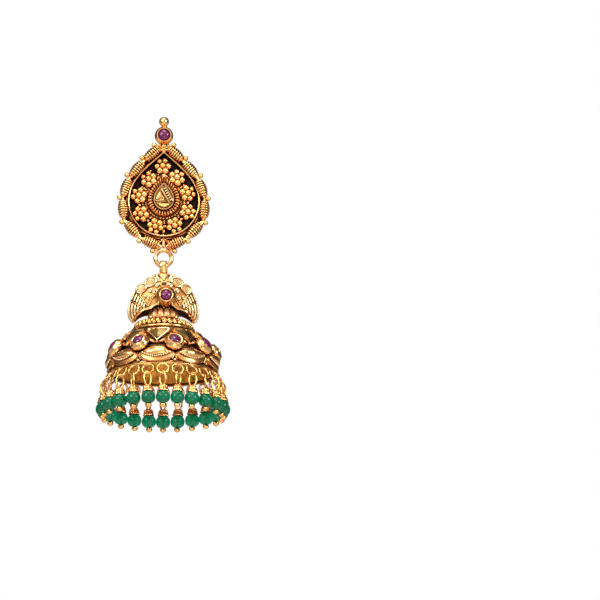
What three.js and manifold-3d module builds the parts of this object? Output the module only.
// Jhumka earring: a drop-shaped stud, and a bell with a fringe of green beads that hangs free on a ring.
// Millimetres, +Z up, front towards -Y. The origin is where the ear post leaves the back of the stud.
import * as THREE from 'three';
import { mergeVertices } from 'three/addons/utils/BufferGeometryUtils.js';
import Module from 'manifold-3d';

const wasm = await Module();
wasm.setup();

// Clearances
const seat = 0.1; // between two pieces where one rests on the other
const hangGap = 0.06; // between a wire loop and the loop that hangs on it

// Stud: plate, post and the teardrop wall
const plateThickness = 0.6;
const plateReach = 1.9; // how far the plate runs out beyond the wall's centre line
const postRadius = 0.45;
const postLength = 11;
const wallHalfWidth = 7.1;
const wallTipRise = 10.27; // tip above the widest place
const wallWidestDrop = 4.57; // widest place below the ear post
const wallTipAngle = 48; // degrees, half of the angle at the tip
const wallThickness = 0.42;
const wallHeight = 1.8;

// Stud: rim of ribbed spindles and granules
const spindlesPerSide = 6;
const spindleLength = 3.6;
const spindleRadius = 1.05;
const spindleEndRadius = 0.42;
const spindleRibs = 3;
const spindleValley = 0.84; // radius between two ribs as a share of the ribs' radius
const rimCoreRadius = 0.34;
const rimGap = 0.06; // between the spindles and the wall
const rimTopGap = 1.35; // free length of the rim's centre line under the top setting
const granuleRadius = 0.5;
const granuleSink = 0.2; // how deep solder lets a granule into its neighbour
const footGranuleRadius = 0.42;
const rimTopGranule = 5.88; // place of the last granule, in spindles from the foot

// Stud: field of florets
const floretCount = 9;
const floretRadius = 1.65;
const floretHeight = 0.95;
const floretDrift = 0.3; // how far the string of florets is shifted round the boss
const webThickness = 0.35;

// Stud: centre boss
const bossHalfWidth = 3.2;
const bossTipRise = 5.1;
const bossWidestDrop = 4.2;
const bossRibs = 18;
const bossRibDepth = 0.2;
const bossBorder = 0.86;
const bossHeight = 1.75;
const bossFieldRise = 0.3;

// Stones and their cups: radius of the cup, of the stone, and the cup's height
const topCupRadius = 1.86;
const topStoneRadius = 1.15;
const topCupHeight = 2.1;
const finialRadius = 1.0;
const finialNeckRadius = 0.62;
const finialNeckLength = 0.05;
const crownCupRadius = 1.95;
const crownStoneRadius = 1.1;
const crownCupHeight = 1.5;
const bellCupRadius = 1.7;
const bellStoneRadius = 1.1;
const bellCupHeight = 1.7;
const stoneRise = 0.42; // dome above the cup's lip
const stoneSink = 0.4; // depth of the stone's seat below the lip

// Ring and bail, which share the hinge axis
const ringRadius = 1.62; // centre line
const ringWireRadius = 0.42;
const bailWidth = 1.5;
const bailThickness = 0.4;
const bailPlay = 0.28; // between the ring's wire and the bail
const bailDrop = 1.35; // hinge axis to the bail's foot

// Crown
const crownHalfWidth = 6.85;
const crownHeight = 10.2;
const crownHalfDepth = 3.3;
const crownWall = 0.5;
const crownCapRadius = 1.5;
const crownCapHeight = 0.8;
const crownStoneDrop = 5.67; // crown's top to the stone
const crownStoneShift = 0.35;
const armRidge = 0.14;
const medallionLength = 2.3;
const medallionWidth = 1.6;
const medallionRise = 0.34;
const blockLength = 2.2;
const blockWidth = 1.7;
const blockRise = 0.3;

// Neck of petals and shoulder of granules
const neckDrop = 9.6; // crown's top to the neck's foot
const petalCount = 12;
const petalHeight = 1.7;
const neckRadius = 3.05;
const neckPostRadius = 0.9;
const neckPostTipRadius = 0.4;
const neckPostClearance = 0.4;
const shoulderHeight = 1.85;
const shoulderLobes = 12;
const shoulderLobeDepth = 0.42;

// Bell
const bellTopRadius = 6.1;
const bellFootRadius = 10.4;
const bellHeight = 8.7;
const bellWall = 0.5;
const bellRimWireRadius = 0.25;
const ornamentCount = 9;
const heartTurn = -9.6; // degrees round the bell, from the front towards +X
const heartWidth = 4.2;
const heartHeight = 3.9;
const heartThickness = 0.55;
const heartDrop = 2.8; // bell's top to the heart's middle
const heartTilt = 35;
const cupDrop = 4.95;
const cupTilt = 32;
const leafDrop = 7.25;
const leafTilt = 14;
const leafLength = 6.2;
const leafWidth = 2.9;
const leafRise = 0.85;

// Fringe
const fringeCount = 24;
const fringeTurn = -2.4;
const footWireRadius = 0.25;
const loopRadius = 1.16; // centre line
const loopWireRadius = 0.17;
const loopFlare = 25; // degrees that the loops stand out from straight down
const loopStandOut = 0.093251; // outwards from the middle of a straight piece of the foot wire
const eyeHalfHeight = 1.6;
const eyeHalfWidth = 0.74;
const eyeTurn = 28; // degrees that each eye is turned away from straight outwards
const capTopRadius = 0.72;
const capHeight = 1.12;
const beadRadius = 1.4;
const beadHeight = 2.4;
const endBallRadius = 0.6;
const endBallHeight = 0.9;
const pinRadius = 0.3;
const swayShift = 0.3; // how far the beads hang off their even spacing at most

// Outline of the crown's right half: ridge and lower edge as shares of its half width and height,
// depth as a share of its half depth, from the middle to the pointed tip
const crownSections = [
  { ridgeOut: 0.0, ridgeDown: 0.0, edgeOut: 0.0, edgeDown: 0.68, depth: 1.0 },
  { ridgeOut: 0.26, ridgeDown: 0.05, edgeOut: 0.1, edgeDown: 0.685, depth: 1.0 },
  { ridgeOut: 0.52, ridgeDown: 0.165, edgeOut: 0.24, edgeDown: 0.7, depth: 0.97 },
  { ridgeOut: 0.79, ridgeDown: 0.36, edgeOut: 0.4, edgeDown: 0.77, depth: 0.92 },
  { ridgeOut: 0.94, ridgeDown: 0.56, edgeOut: 0.57, edgeDown: 0.8, depth: 0.82 },
  { ridgeOut: 1.0, ridgeDown: 0.73, edgeOut: 0.72, edgeDown: 0.86, depth: 0.66 },
  { ridgeOut: 0.985, ridgeDown: 0.87, edgeOut: 0.81, edgeDown: 0.925, depth: 0.42 },
  { ridgeOut: 0.885, ridgeDown: 1.0, edgeOut: 0.865, edgeDown: 0.99, depth: 0.06 },
];
const crownArmStart = 4; // first section with ridges along the arm
const crownHollowEnd = 5; // last section that is hollow

// Ornaments on both halves of the crown's front: section number and share of the way up to the ridge
const crownMedallions = [
  { section: 1.55, up: 0.86 },
  { section: 2.7, up: 0.84 },
];
const crownBlock = { section: 3.75, up: 0.5 };

// Bell's outline: shares of its height and of its growth from the top radius to the foot radius
const bellProfile = [
  { down: 0.06, out: 0.02 },
  { down: 0.24, out: 0.33 },
  { down: 0.47, out: 0.65 },
  { down: 0.73, out: 0.88 },
  { down: 1.0, out: 1.0 },
];

// Heart plate: shares of its half width and half height, right half from the foot to the notch
const heartOutline = [
  { across: 0.0, up: -1.0 },
  { across: 1.0, up: 0.45 },
  { across: 0.78, up: 1.0 },
  { across: 0.0, up: 0.8 },
];

// Rows of the shoulder: shares of its width, of the depth between two granules and of its height
const shoulderRows = [
  { out: 0.0, lobe: 0, down: 0.0 },
  { out: 0.46, lobe: 0.7, down: 0.08 },
  { out: 0.5, lobe: 1, down: 0.42 },
  { out: 0.96, lobe: 1, down: 0.5 },
  { out: 1.0, lobe: 1, down: 0.86 },
  { out: 0.9, lobe: 0, down: 1.0 },
];

const outlineSteps = 12; // straight pieces in half of a drop outline
const spindleSides = 5;
const cupSides = 8;
const roundSides = 10;
const stoneSides = 12;
const bellSides = 18;

const degrees = THREE.MathUtils.degToRad;
const vector = (x, y, z) => new THREE.Vector3(x, y, z);

// A closed mesh as a solid for joining and cutting, with its faces turned outwards
function solid(geometry) {
  const plain = geometry.clone();
  for (const name of Object.keys(plain.attributes)) {
    if (name !== 'position') plain.deleteAttribute(name);
  }
  const merged = mergeVertices(plain, 1e-4);
  const places = merged.attributes.position;
  const corner = (i) => vector().fromBufferAttribute(places, i);
  const triangles = [];
  let volume = 0;
  for (let i = 0; i < merged.index.count; i += 3) {
    const [a, b, c] = merged.index.array.slice(i, i + 3);
    if (a === b || b === c || c === a) continue;
    triangles.push([a, b, c]);
    volume += corner(a).dot(corner(b).cross(corner(c)));
  }
  const outwards = volume > 0 ? triangles : triangles.map(([a, b, c]) => [a, c, b]);
  return new wasm.Manifold(new wasm.Mesh({
    numProp: 3,
    vertProperties: Float32Array.from(places.array),
    triVerts: Uint32Array.from(outwards.flat()),
  }));
}

function join(geometries) {
  return geometries.map(solid).reduce((whole, piece) => whole.add(piece));
}

function geometryOf(body) {
  const { vertProperties, triVerts } = body.getMesh();
  const geometry = new THREE.BufferGeometry();
  geometry.setAttribute('position', new THREE.BufferAttribute(vertProperties, 3));
  geometry.setIndex(new THREE.BufferAttribute(triVerts, 1));
  geometry.computeVertexNormals();
  return geometry;
}

function named(name, body, material) {
  const whole = body.isBufferGeometry ? solid(body) : body;
  const mesh = new THREE.Mesh(geometryOf(whole), material);
  mesh.name = name;
  return mesh;
}

// Closed body through rings of equal count: capped at both ends, or run round into itself
function loft(rings, endless = false) {
  const count = rings[0].length;
  const points = rings.flat();
  const index = [];
  const bands = endless ? rings.length : rings.length - 1;
  for (let band = 0; band < bands; band++) {
    const next = (band + 1) % rings.length;
    for (let i = 0; i < count; i++) {
      const j = (i + 1) % count;
      const [a, b, c, d] = [band * count + i, band * count + j, next * count + j, next * count + i];
      index.push(a, b, c, a, c, d);
    }
  }
  if (!endless) {
    for (const ring of [0, rings.length - 1]) {
      const middle = rings[ring].reduce((sum, p) => sum.add(p), vector(0, 0, 0)).divideScalar(count);
      points.push(middle);
      for (let i = 0; i < count; i++) {
        const [a, b] = [ring * count + i, ring * count + ((i + 1) % count)];
        index.push(points.length - 1, ring === 0 ? b : a, ring === 0 ? a : b);
      }
    }
  }
  const geometry = new THREE.BufferGeometry().setFromPoints(points);
  geometry.setIndex(index);
  return geometry;
}

// Round wire along flat points in the XY plane, with one radius or one for each point
function wire(points, radius, sides, endless) {
  const rings = points.map((point, i) => {
    const before = endless ? points.at(i - 1) : points[Math.max(i - 1, 0)];
    const after = endless ? points[(i + 1) % points.length] : points[Math.min(i + 1, points.length - 1)];
    const along = new THREE.Vector2().subVectors(after, before).normalize();
    const reach = Array.isArray(radius) ? radius[i] : radius;
    return Array.from({ length: sides }, (_, k) => {
      const angle = (2 * Math.PI * (k + 0.5)) / sides;
      const across = reach * Math.cos(angle);
      return vector(point.x + along.y * across, point.y - along.x * across, reach * Math.sin(angle));
    });
  });
  return loft(rings, endless);
}

function hoop(halfWidth, halfHeight, radius, sides, steps) {
  const points = Array.from({ length: steps }, (_, i) => {
    const angle = (2 * Math.PI * i) / steps;
    return new THREE.Vector2(halfWidth * Math.cos(angle), halfHeight * Math.sin(angle));
  });
  return wire(points, radius, sides, true);
}

// Turned body about Z from [radius, height] pairs that start and end on the axis
function turned(profile, sides) {
  const points = profile.map(([radius, height]) => new THREE.Vector2(radius, height));
  return new THREE.LatheGeometry(points, sides).rotateX(Math.PI / 2);
}

function ball(radius, x, y, z) {
  return new THREE.IcosahedronGeometry(radius, 0).translate(x, y, z);
}

// Right half of a drop outline, moved outwards by outset, as a track from the foot to the tip
function dropTrack(halfWidth, tipRise, outset) {
  const tipAngle = degrees(wallTipAngle);
  const pull = 0.438 * tipRise;
  const path = new THREE.Path();
  path.absarc(0, 0, halfWidth, -Math.PI / 2, 0);
  path.bezierCurveTo(
    halfWidth, pull,
    pull * Math.sin(tipAngle), tipRise - pull * Math.cos(tipAngle),
    0, tipRise,
  );
  const points = [];
  for (let i = 0; i <= outlineSteps; i++) {
    const place = path.getPointAt(i / outlineSteps);
    const along = path.getTangentAt(i / outlineSteps);
    points.push(new THREE.Vector2(place.x + outset * along.y, place.y - outset * along.x));
  }
  points[0].x = 0;
  const side = points.filter((point, i) => i === 0 || (point.x > 0.05 && i < outlineSteps));
  side.push(new THREE.Vector2(0, tipRise + outset / Math.sin(tipAngle)));
  return side;
}

// The whole outline from such a half
function bothSides(side) {
  const mirrored = side.slice(1, -1).reverse().map((point) => new THREE.Vector2(-point.x, point.y));
  return [...side, ...mirrored];
}

function slab(outline, thickness, hole) {
  const shape = new THREE.Shape(outline);
  if (hole) shape.holes.push(new THREE.Path(hole));
  return new THREE.ExtrudeGeometry(shape, { depth: thickness, bevelEnabled: false });
}

// Stud, in a frame with X right, Y up and Z towards the front; Y counts from the wall's widest place
const studFront = plateThickness + seat;
const rimOffset = wallThickness / 2 + rimGap + spindleRadius;
const rimAxis = studFront + spindleRadius;
// From the widest place down to the lowest point of the granule that carries the ring
const footRise = wallHalfWidth + rimOffset + rimCoreRadius + 2 * footGranuleRadius - granuleSink;

function studPlate() {
  return slab(bothSides(dropTrack(wallHalfWidth, wallTipRise, plateReach)), plateThickness);
}

function earPost() {
  const tipLength = postRadius;
  return turned([
    [0, seat],
    [postRadius, seat],
    [postRadius, postLength - tipLength],
    [postRadius / 2, postLength],
    [0, postLength],
  ], 10);
}

function teardropWall() {
  const outline = bothSides(dropTrack(wallHalfWidth, wallTipRise, wallThickness / 2));
  const hole = bothSides(dropTrack(wallHalfWidth, wallTipRise, -wallThickness / 2));
  return slab(outline, wallHeight, hole).translate(0, 0, studFront);
}

const rimTrack = new THREE.Path(dropTrack(wallHalfWidth, wallTipRise, rimOffset));
const rimLength = rimTrack.getLength();
const rimPitch = (rimLength - rimTopGap) / spindlesPerSide;

// Point of the rim that lies outset beyond its centre line
function rimPlace(along, outset) {
  const place = rimTrack.getPointAt(along / rimLength);
  const tangent = rimTrack.getTangentAt(along / rimLength);
  return place.add(new THREE.Vector2(tangent.y, -tangent.x).multiplyScalar(outset));
}

// Half of the rim as stations along its centre line, each with the radius there
function rimStations() {
  const stations = [{ along: 0, radius: rimCoreRadius }];
  const turns = 2 * spindleRibs;
  for (let i = 0; i < spindlesPerSide; i++) {
    for (let k = 0; k <= turns; k++) {
      const swell = Math.sin((Math.PI * k) / turns) ** 0.7;
      const full = spindleEndRadius + (spindleRadius - spindleEndRadius) * swell;
      const along = (i + 0.5) * rimPitch + (k / turns - 0.5) * spindleLength;
      stations.push({ along, radius: k % 2 === 0 ? full * spindleValley : full });
    }
  }
  return stations;
}

function ribbedRim() {
  const granuleOut = rimCoreRadius + granuleRadius - granuleSink;
  const spindleOut = spindleValley * spindleRadius + granuleRadius - granuleSink;
  const places = [rimPlace(0.5 * rimPitch, spindleOut), rimPlace(rimTopGranule * rimPitch, granuleOut)];
  for (let i = 1; i < spindlesPerSide; i++) places.push(rimPlace(i * rimPitch, granuleOut));
  const granules = places.flatMap(({ x, y }) => [
    ball(granuleRadius, x, y, rimAxis),
    ball(granuleRadius, -x, y, rimAxis),
  ]);
  const foot = ball(footGranuleRadius, 0, footGranuleRadius - footRise, rimAxis);
  const right = rimStations().map(({ along, radius }) => ({ place: rimPlace(along, 0), radius }));
  const left = right.slice(1).reverse().map(({ place, radius }) => {
    return { place: new THREE.Vector2(-place.x, place.y), radius };
  });
  const line = [...left, ...right];
  const radii = line.map(({ radius }) => radius);
  const spindles = wire(line.map(({ place }) => place), radii, spindleSides, false).translate(0, 0, rimAxis);
  return join([spindles, foot, ...granules]);
}

// A rosette of six granules round a raised one
function floret() {
  const star = (peak, valley, height) => Array.from({ length: 12 }, (_, i) => {
    const radius = floretRadius * (i % 2 === 0 ? peak : valley);
    const angle = (i * Math.PI) / 6;
    return vector(radius * Math.cos(angle), radius * Math.sin(angle), height * floretHeight);
  });
  return loft([star(0.9, 0.62, 0), star(1, 0.62, 0.6), star(0, 0, 1.4)]);
}

function granuleFlorets() {
  const inset = floretRadius + seat + wallThickness / 2;
  const webOutline = bothSides(dropTrack(wallHalfWidth, wallTipRise, -wallThickness / 2 - seat));
  const bossOutline = bothSides(dropTrack(bossHalfWidth, bossTipRise, seat));
  const bossLift = wallWidestDrop - bossWidestDrop;
  const hole = bossOutline.map((point) => new THREE.Vector2(point.x, point.y + bossLift));
  const pieces = [slab(webOutline, webThickness, hole).translate(0, 0, studFront)];
  const side = bothSides(dropTrack(wallHalfWidth, wallTipRise, -inset));
  const loop = new THREE.Path([...side, side[0]]);
  const length = loop.getLength();
  for (let i = 0; i < floretCount; i++) {
    const share = ((i + 0.5) / floretCount + floretDrift / length) % 1;
    const middle = loop.getPointAt(share);
    const rosette = floret().rotateZ(share * 2 * Math.PI);
    pieces.push(rosette.translate(middle.x, middle.y, studFront + webThickness / 2));
  }
  return join(pieces);
}

// The boss: a border of ribs round a lower floor that carries the engraved field
function centreBoss() {
  const edge = bothSides(dropTrack(bossHalfWidth, bossTipRise, 0));
  const track = new THREE.Path([...edge, edge[0]]);
  const count = 2 * bossRibs;
  const middle = new THREE.Vector2(0, 0);
  const border = (inset, ribDepth, height) => Array.from({ length: count }, (_, i) => {
    const place = track.getPointAt(i / count);
    const inwards = inset + (i % 2 === 0 ? 0 : ribDepth);
    const reach = new THREE.Vector2().subVectors(place, middle);
    reach.setLength(reach.length() - inwards);
    return vector(reach.x, reach.y, height);
  });
  const top = studFront + bossHeight;
  const base = loft([
    border(0, bossRibDepth, studFront),
    border(bossBorder / 4, bossRibDepth, top),
    border(bossBorder, 0, top - bossRibDepth),
  ]);
  const field = dropTrack(bossHalfWidth - bossBorder, bossTipRise - 1.9 * bossBorder, -bossRibDepth / 2);
  const ring = (shrink, height) => {
    return bothSides(field).map((point) => vector(point.x * shrink, point.y * shrink, height));
  };
  const floor = top - bossRibDepth - bossFieldRise / 2;
  const plateau = loft([ring(1, floor), ring(0.95, top), ring(0.6, top + bossFieldRise)]);
  const half = bossHalfWidth - bossBorder;
  const facet = new THREE.BoxGeometry(0.7 * half, 0.6 * half, bossFieldRise);
  facet.rotateZ(0.7).translate(-0.35 * half, 0.05 * half, top + bossFieldRise);
  const bar = new THREE.BoxGeometry(0.16 * half, 1.3 * half, bossFieldRise);
  bar.rotateZ(0.7).translate(0.2 * half, -0.05 * half, top + bossFieldRise);
  return join([base, plateau, facet, bar]);
}

// A cup for a round stone, opening towards +Z, the point of its back at height zero
function cup(radius, stoneRadius, height, sides) {
  const inner = stoneRadius + seat / 2;
  return turned([
    [0, 0],
    [radius, 0.42 * height],
    [0.5 * (radius + inner), height],
    [inner, height - stoneSink],
    [0, height - stoneSink],
  ], sides);
}

function cabochon(radius, cupHeight, sides) {
  const foot = cupHeight - stoneSink + seat / 2;
  const top = cupHeight + stoneRise;
  return turned([
    [0, foot],
    [radius, foot],
    [0.8 * radius, cupHeight + 0.55 * stoneRise],
    [0, top],
  ], sides);
}

const topCupRise = wallTipRise + rimOffset / Math.sin(degrees(wallTipAngle)) + topCupRadius - 0.2;

function topSetting() {
  const middle = topCupHeight / 2;
  const neckFoot = 0.9 * topCupRadius;
  const neckTop = topCupRadius + finialNeckLength + 0.3 * finialRadius;
  const finialRise = topCupRadius + finialNeckLength + finialRadius;
  const neck = new THREE.CylinderGeometry(finialNeckRadius, finialNeckRadius, neckTop - neckFoot, 8);
  neck.translate(0, (neckFoot + neckTop) / 2, middle);
  const finial = new THREE.SphereGeometry(finialRadius, 8, 6).translate(0, finialRise, middle);
  return join([cup(topCupRadius, topStoneRadius, topCupHeight, stoneSides), neck, finial]);
}

// Drop, in a frame whose origin is the hinge axis: the middle of the ring's lowest wire
const hingeDrop = wallWidestDrop + footRise + seat + ringWireRadius + 2 * ringRadius;
const bailHoleRadius = ringWireRadius + bailPlay;
const crownTop = -bailDrop - seat;
const neckFoot = crownTop - neckDrop;
const shoulderTop = neckFoot - seat;
const shoulderFoot = shoulderTop - shoulderHeight;
const bellTop = shoulderFoot - seat;
const bellFoot = bellTop - bellHeight;
const footWireHeight = bellFoot - seat - footWireRadius;
const footWireRadiusLine = bellFootRadius + 0.5;
const loopLine = footWireRadiusLine * Math.cos(Math.PI / fringeCount) + loopStandOut;

function bail() {
  const outer = bailHoleRadius + bailThickness;
  const footHalf = 0.55 * outer;
  const shape = new THREE.Shape();
  shape.absarc(0, 0, outer, degrees(-35), degrees(215));
  shape.lineTo(-footHalf, -bailDrop);
  shape.lineTo(footHalf, -bailDrop);
  const hole = new THREE.Path();
  hole.absarc(0, 0, bailHoleRadius, 0, 2 * Math.PI);
  shape.holes.push(hole);
  const strip = new THREE.ExtrudeGeometry(shape, { depth: bailWidth, bevelEnabled: false, curveSegments: 8 });
  return strip.translate(0, 0, -bailWidth / 2).rotateX(Math.PI / 2).rotateZ(Math.PI / 2);
}

// A section's sizes at a number that may lie between two rows of the table
function crownSection(number) {
  const last = crownSections.length - 1;
  const low = Math.min(Math.floor(number), last - 1);
  const part = number - low;
  const mix = (name) => THREE.MathUtils.lerp(crownSections[low][name], crownSections[low + 1][name], part);
  return {
    ridge: vector(mix('ridgeOut') * crownHalfWidth, 0, crownTop - mix('ridgeDown') * crownHeight),
    edge: vector(mix('edgeOut') * crownHalfWidth, 0, crownTop - mix('edgeDown') * crownHeight),
    depth: mix('depth') * crownHalfDepth,
  };
}

// Point of the crown's skin: turn runs from -90 at the front edge over the ridge to 90 at the back edge
function crownPoint(number, turn, side) {
  const { ridge, edge, depth } = crownSection(number);
  const point = edge.clone().lerp(ridge, Math.cos(degrees(turn)));
  point.y = depth * Math.sin(degrees(turn));
  point.x *= side;
  return point;
}

// Frame on the front of the crown's skin with Z outwards and Y along the arm
function crownFrame(number, up, side) {
  const turn = -THREE.MathUtils.radToDeg(Math.acos(up));
  const step = 0.05;
  const here = crownPoint(number, turn, side);
  const along = crownPoint(number + step, turn, side).sub(here).normalize();
  const across = crownPoint(number, turn + 2, side).sub(here).normalize();
  const out = across.clone().cross(along).normalize();
  if (out.dot(vector(here.x, here.y, 0)) < 0) out.negate();
  const right = along.clone().cross(out);
  return new THREE.Matrix4().makeBasis(right, along, out).setPosition(here);
}

function crownShell() {
  const turns = Array.from({ length: 9 }, (_, i) => -90 + 22.5 * i);
  const last = crownSections.length - 1;
  const stations = [];
  for (let i = last; i > 0; i--) stations.push({ number: i, side: -1 });
  for (let i = 0; i <= last; i++) stations.push({ number: i, side: 1 });
  const outer = loft(stations.map(({ number, side }) => turns.map((turn, k) => {
    const point = crownPoint(number, turn, side);
    const ridged = number >= crownArmStart && number < last && k % 2 === 1;
    const lift = ridged ? armRidge * Math.abs(Math.cos(degrees(turn))) : 0;
    return point.add(vector(side * lift, -armRidge * (ridged ? Math.sign(-turn) : 0), lift / 2));
  })));
  const hollow = stations.filter(({ number }) => number <= crownHollowEnd);
  const inner = loft(hollow.map(({ number, side }) => {
    const { ridge, edge, depth } = crownSection(number);
    const rise = ridge.clone().sub(edge);
    const ceiling = ridge.clone().addScaledVector(rise.clone().normalize(), -crownWall);
    const foot = edge.clone().addScaledVector(rise.clone().normalize(), -crownWall);
    return turns.filter((_, k) => k % 2 === 0).map((turn) => {
      const point = foot.clone().lerp(ceiling, Math.cos(degrees(turn)));
      point.y = (depth - crownWall) * Math.sin(degrees(turn));
      point.x *= side;
      return point;
    });
  }));
  return solid(outer).subtract(solid(inner));
}

function medallion() {
  const dome = new THREE.SphereGeometry(1, 8, 3);
  return dome.rotateX(Math.PI / 2).scale(medallionWidth / 2, medallionLength / 2, medallionRise);
}

function crown() {
  let body = crownShell();
  for (const side of [-1, 1]) {
    for (const { section, up } of crownMedallions) {
      body = body.add(solid(medallion().applyMatrix4(crownFrame(section, up, side))));
    }
    const block = new THREE.BoxGeometry(blockWidth, blockLength, 2 * blockRise);
    body = body.add(solid(block.applyMatrix4(crownFrame(crownBlock.section, crownBlock.up, side))));
  }
  const cap = turned([
    [0, crownTop],
    [0.5 * crownCapRadius, crownTop],
    [crownCapRadius, crownTop - crownCapHeight],
    [0, crownTop - crownCapHeight],
  ], roundSides);
  return body.add(solid(cap));
}

function petalNeck() {
  const count = 2 * petalCount;
  const ring = (peak, valley, height) => Array.from({ length: count }, (_, i) => {
    const angle = (2 * Math.PI * i) / count;
    const radius = i % 2 === 0 ? peak : valley;
    return vector(radius * Math.cos(angle), radius * Math.sin(angle), height);
  });
  const rimHeight = 0.12 * petalHeight;
  const postTop = crownTop - crownWall - neckPostClearance;
  const postShoulder = postTop - 4 * neckPostRadius;
  const petalTop = neckFoot + petalHeight;
  const petals = loft([
    ring(neckRadius, neckRadius, neckFoot),
    ring(neckRadius, neckRadius, neckFoot + rimHeight),
    ring(0.96 * neckRadius, 0.74 * neckRadius, neckFoot + 0.45 * petalHeight),
    ring(0.7 * neckRadius, 0.56 * neckRadius, petalTop),
  ]);
  const post = turned([
    [0, petalTop - seat],
    [neckPostRadius, petalTop - seat],
    [neckPostRadius, postShoulder],
    [neckPostTipRadius, postTop],
    [0, postTop],
  ], 8);
  return join([petals, post]);
}

// Dome with its rows of granules as lobes
function granuleShoulder() {
  const count = 2 * shoulderLobes;
  const foot = bellTopRadius - bellRimWireRadius;
  const ring = ({ out, lobe, down }) => Array.from({ length: count }, (_, i) => {
    const angle = (2 * Math.PI * i) / count;
    const radius = neckRadius + out * (foot - neckRadius) - (i % 2 === 0 ? 0 : lobe * shoulderLobeDepth);
    return vector(radius * Math.cos(angle), radius * Math.sin(angle), shoulderTop - down * shoulderHeight);
  });
  return loft(shoulderRows.map(ring));
}

// Bell
function bellRadiusAt(down) {
  const next = bellProfile.findIndex((row) => row.down > down);
  const [low, high] = [bellProfile[next - 1], bellProfile[next]];
  const part = (down - low.down) / (high.down - low.down);
  const out = THREE.MathUtils.lerp(low.out, high.out, part);
  return bellTopRadius + out * (bellFootRadius - bellTopRadius);
}

// Frame on the bell: X round it, Y up its side and Z out of it, leaning up by tilt
function bellFrame(turn, radius, height, tilt) {
  const angle = degrees(turn);
  const lean = degrees(tilt);
  const across = vector(Math.cos(angle), Math.sin(angle), 0);
  const out = vector(Math.sin(angle), -Math.cos(angle), 0);
  const up = vector(0, 0, 1);
  const normal = out.clone().multiplyScalar(Math.cos(lean)).addScaledVector(up, Math.sin(lean));
  const rise = up.clone().multiplyScalar(Math.cos(lean)).addScaledVector(out, -Math.sin(lean));
  const place = out.clone().multiplyScalar(radius).addScaledVector(up, height);
  return new THREE.Matrix4().makeBasis(across, rise, normal).setPosition(place);
}

const ornamentPitch = 360 / ornamentCount;
const cupTurn = heartTurn + ornamentPitch / 2;
const cupRadiusLine = bellRadiusAt(cupDrop / bellHeight) + 0.3 * bellCupRadius;

function cupFrame(number) {
  const frame = bellFrame(cupTurn + number * ornamentPitch, cupRadiusLine, bellTop - cupDrop, cupTilt);
  return frame.multiply(new THREE.Matrix4().makeTranslation(0, 0, -0.45 * bellCupHeight));
}

function heart() {
  const half = heartOutline.map(({ across, up }) => {
    return new THREE.Vector2((across * heartWidth) / 2, (up * heartHeight) / 2);
  });
  return slab(bothSides(half), heartThickness);
}

// A leaf-shaped boss with pointed ends, lying along X
function leaf() {
  const stations = [-1, -0.42, 0.42, 1];
  return loft(stations.map((share) => {
    const swell = Math.max(1 - share ** 2, 0.02);
    return Array.from({ length: 4 }, (_, k) => {
      const angle = (k * Math.PI) / 2;
      const across = 0.5 * leafWidth * swell * Math.cos(angle);
      const bend = -0.045 * (share * leafLength) ** 2 / 4;
      return vector((share * leafLength) / 2, across, leafRise * swell * Math.sin(angle) + bend);
    });
  }));
}

function bell() {
  const bodyLine = bellProfile.map(({ down, out }) => [
    bellTopRadius + out * (bellFootRadius - bellTopRadius),
    bellTop - down * bellHeight,
  ]);
  const wireMiddle = bellTop - bellRimWireRadius;
  const rimWire = [
    [bellTopRadius - bellRimWireRadius, bellTop],
    [bellTopRadius + bellRimWireRadius / 2, bellTop],
    [bellTopRadius + 1.2 * bellRimWireRadius, wireMiddle],
  ];
  const outside = [[0, bellTop], ...rimWire, ...bodyLine, [0, bellFoot]];
  const ceiling = bellTop - bellWall - bellRimWireRadius;
  const inside = [
    [0, ceiling],
    [bellTopRadius - bellWall, ceiling],
    ...bodyLine.filter((_, i) => i % 2 === 1).map(([radius, height]) => [radius - bellWall, height]),
    [bellFootRadius - bellWall, bellFoot - seat],
    [0, bellFoot - seat],
  ];
  let body = solid(turned(outside, bellSides));
  for (let i = 0; i < ornamentCount; i++) {
    const turn = heartTurn + i * ornamentPitch;
    const heartRadius = bellRadiusAt(heartDrop / bellHeight) - 0.1;
    const leafRadius = bellRadiusAt(leafDrop / bellHeight);
    const pieces = [
      heart().applyMatrix4(bellFrame(turn, heartRadius, bellTop - heartDrop, heartTilt)),
      leaf().applyMatrix4(bellFrame(turn, leafRadius, bellTop - leafDrop, leafTilt)),
      cup(bellCupRadius, bellStoneRadius, bellCupHeight, cupSides).applyMatrix4(cupFrame(i)),
    ];
    for (const piece of pieces) body = body.add(solid(piece));
  }
  return body.subtract(solid(turned(inside, bellSides)));
}

// Fringe: wire round the bell's foot with loops that stand out from it
const loopReach = footWireRadius + loopRadius;
const loopOut = Math.sin(degrees(loopFlare));
const loopDown = Math.cos(degrees(loopFlare));

function rimLoops() {
  const steps = fringeCount;
  const points = Array.from({ length: steps }, (_, i) => {
    const angle = degrees(fringeTurn) + (2 * Math.PI * (i + 0.5)) / steps - Math.PI / 2;
    return new THREE.Vector2(Math.cos(angle), Math.sin(angle)).multiplyScalar(footWireRadiusLine);
  });
  let body = solid(wire(points, footWireRadius, 5, true).translate(0, 0, footWireHeight));
  for (let i = 0; i < fringeCount; i++) {
    const turn = fringeTurn + (i * 360) / fringeCount;
    const radius = loopLine + loopReach * loopOut;
    const height = footWireHeight - loopReach * loopDown;
    const loop = hoop(loopRadius, loopRadius, loopWireRadius, 5, 10);
    body = body.add(solid(loop.applyMatrix4(bellFrame(turn, radius, height, loopFlare))));
  }
  return body;
}

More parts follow.
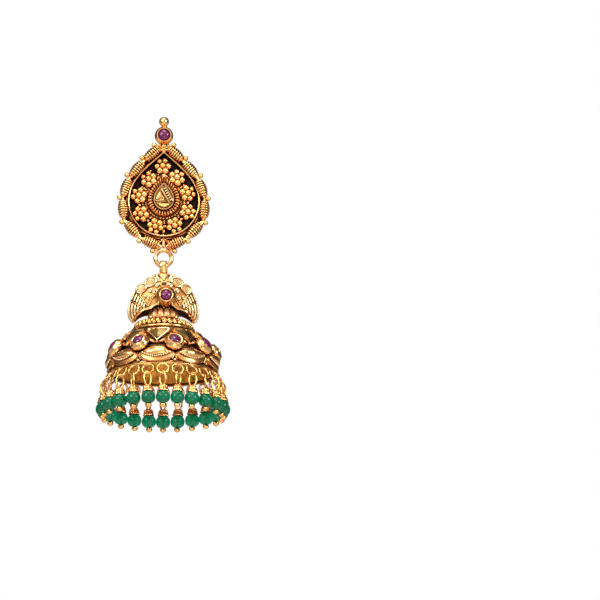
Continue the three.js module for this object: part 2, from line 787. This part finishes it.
// One droplet, hanging from the origin: the middle of the wire that its eye hangs on
function droplet(number) {
  const eyeTop = 2 * loopWireRadius + hangGap;
  const capTop = eyeTop - 2 * eyeHalfHeight;
  const beadTop = capTop - capHeight;
  const beadFoot = beadTop - beadHeight;
  const pinFoot = beadFoot - 0.1;
  const body = turned([
    [0, capTop],
    [capTopRadius, capTop],
    [beadRadius, beadTop - 0.34 * beadHeight],
    [beadRadius, beadFoot + 0.34 * beadHeight],
    [pinRadius, beadFoot],
    [endBallRadius, pinFoot - 0.5 * endBallHeight],
    [0, pinFoot - endBallHeight],
  ], 10);
  const eye = hoop(eyeHalfWidth, eyeHalfHeight, loopWireRadius, 5, 10);
  const turnBack = number % 2 === 0 ? eyeTurn : -eyeTurn;
  eye.rotateX(Math.PI / 2).rotateZ(Math.PI / 2 + degrees(turnBack));
  eye.translate(0, 0, eyeTop - eyeHalfHeight);
  return join([body, eye]);
}

function dropletPlace(number) {
  const turn = fringeTurn + (number * 360) / fringeCount;
  const radius = loopLine + (loopReach + loopRadius) * loopOut;
  const height = footWireHeight - (loopReach + loopRadius) * loopDown;
  const lever = 2 * eyeHalfHeight + capHeight + beadHeight / 2;
  const sway = Math.asin((swayShift / lever) * Math.sin(degrees(4 * turn)));
  const angle = degrees(turn);
  return { x: radius * Math.sin(angle), y: -radius * Math.cos(angle), z: height, angle, sway };
}

// Materials
function metal(color, roughness) {
  return new THREE.MeshStandardMaterial({ color, roughness, metalness: 1, flatShading: true });
}
const antiqueGold = metal(0xc98f46, 0.42);
const brightGold = metal(0xe9b657, 0.24);
const copperGold = metal(0xc58552, 0.38);
const darkFloor = metal(0x3a3029, 0.7);
const ruby = new THREE.MeshStandardMaterial({ color: 0x8a1f63, roughness: 0.12, metalness: 0 });
const emerald = new THREE.MeshStandardMaterial({ color: 0x0b7a55, roughness: 0.15, metalness: 0 });

// Assembly
const stud = new THREE.Group();
stud.rotation.x = Math.PI / 2;
stud.position.z = -wallWidestDrop;
const bossMesh = named('centre_boss', centreBoss(), antiqueGold);
bossMesh.position.y = wallWidestDrop - bossWidestDrop;
const settingMesh = named('top_setting', topSetting(), brightGold);
settingMesh.position.set(0, topCupRise, studFront);
const topStoneMesh = named('top_stone', cabochon(topStoneRadius, topCupHeight, stoneSides), ruby);
topStoneMesh.position.copy(settingMesh.position);
const ringMesh = named('hanging_ring', hoop(ringRadius, ringRadius, ringWireRadius, 6, 14), brightGold);
ringMesh.position.set(0, wallWidestDrop - hingeDrop + ringRadius, rimAxis);
stud.add(
  named('stud_plate', studPlate(), darkFloor),
  named('teardrop_wire', teardropWall(), antiqueGold),
  named('ribbed_rim', ribbedRim(), antiqueGold),
  named('granule_florets', granuleFlorets(), antiqueGold),
  bossMesh,
  settingMesh,
  topStoneMesh,
  ringMesh,
);
const postMesh = named('ear_post', earPost(), brightGold);
postMesh.rotation.x = -Math.PI / 2;

const drop = new THREE.Group();
drop.position.set(0, -rimAxis, -hingeDrop);
const crownCup = cup(crownCupRadius, crownStoneRadius, crownCupHeight, stoneSides);
const crownCupMesh = named('crown_setting', crownCup, copperGold);
crownCupMesh.position.set(crownStoneShift, -crownHalfDepth - seat, crownTop - crownStoneDrop);
crownCupMesh.rotation.x = Math.PI / 2;
const crownStoneMesh = named('crown_stone', cabochon(crownStoneRadius, crownCupHeight, stoneSides), ruby);
crownStoneMesh.position.copy(crownCupMesh.position);
crownStoneMesh.rotation.copy(crownCupMesh.rotation);
drop.add(
  named('bail', bail(), brightGold),
  named('crown', crown(), antiqueGold),
  crownCupMesh,
  crownStoneMesh,
  named('petal_neck', petalNeck(), copperGold),
  named('granule_shoulder', granuleShoulder(), antiqueGold),
  named('bell', bell(), antiqueGold),
  named('rim_loops', rimLoops(), brightGold),
);
for (let i = 0; i < ornamentCount; i++) {
  const stone = named(`bell_stone_${i + 1}`, cabochon(bellStoneRadius, bellCupHeight, cupSides), ruby);
  stone.applyMatrix4(cupFrame(i));
  drop.add(stone);
}
for (let i = 0; i < fringeCount; i++) {
  const { x, y, z, angle, sway } = dropletPlace(i);
  const mesh = named(`droplet_${i + 1}`, droplet(i), emerald);
  mesh.position.set(x, y, z);
  mesh.rotation.set(0, sway, angle, 'ZYX');
  drop.add(mesh);
}

const earring = new THREE.Group();
earring.add(stud, postMesh, drop);

export default earring;
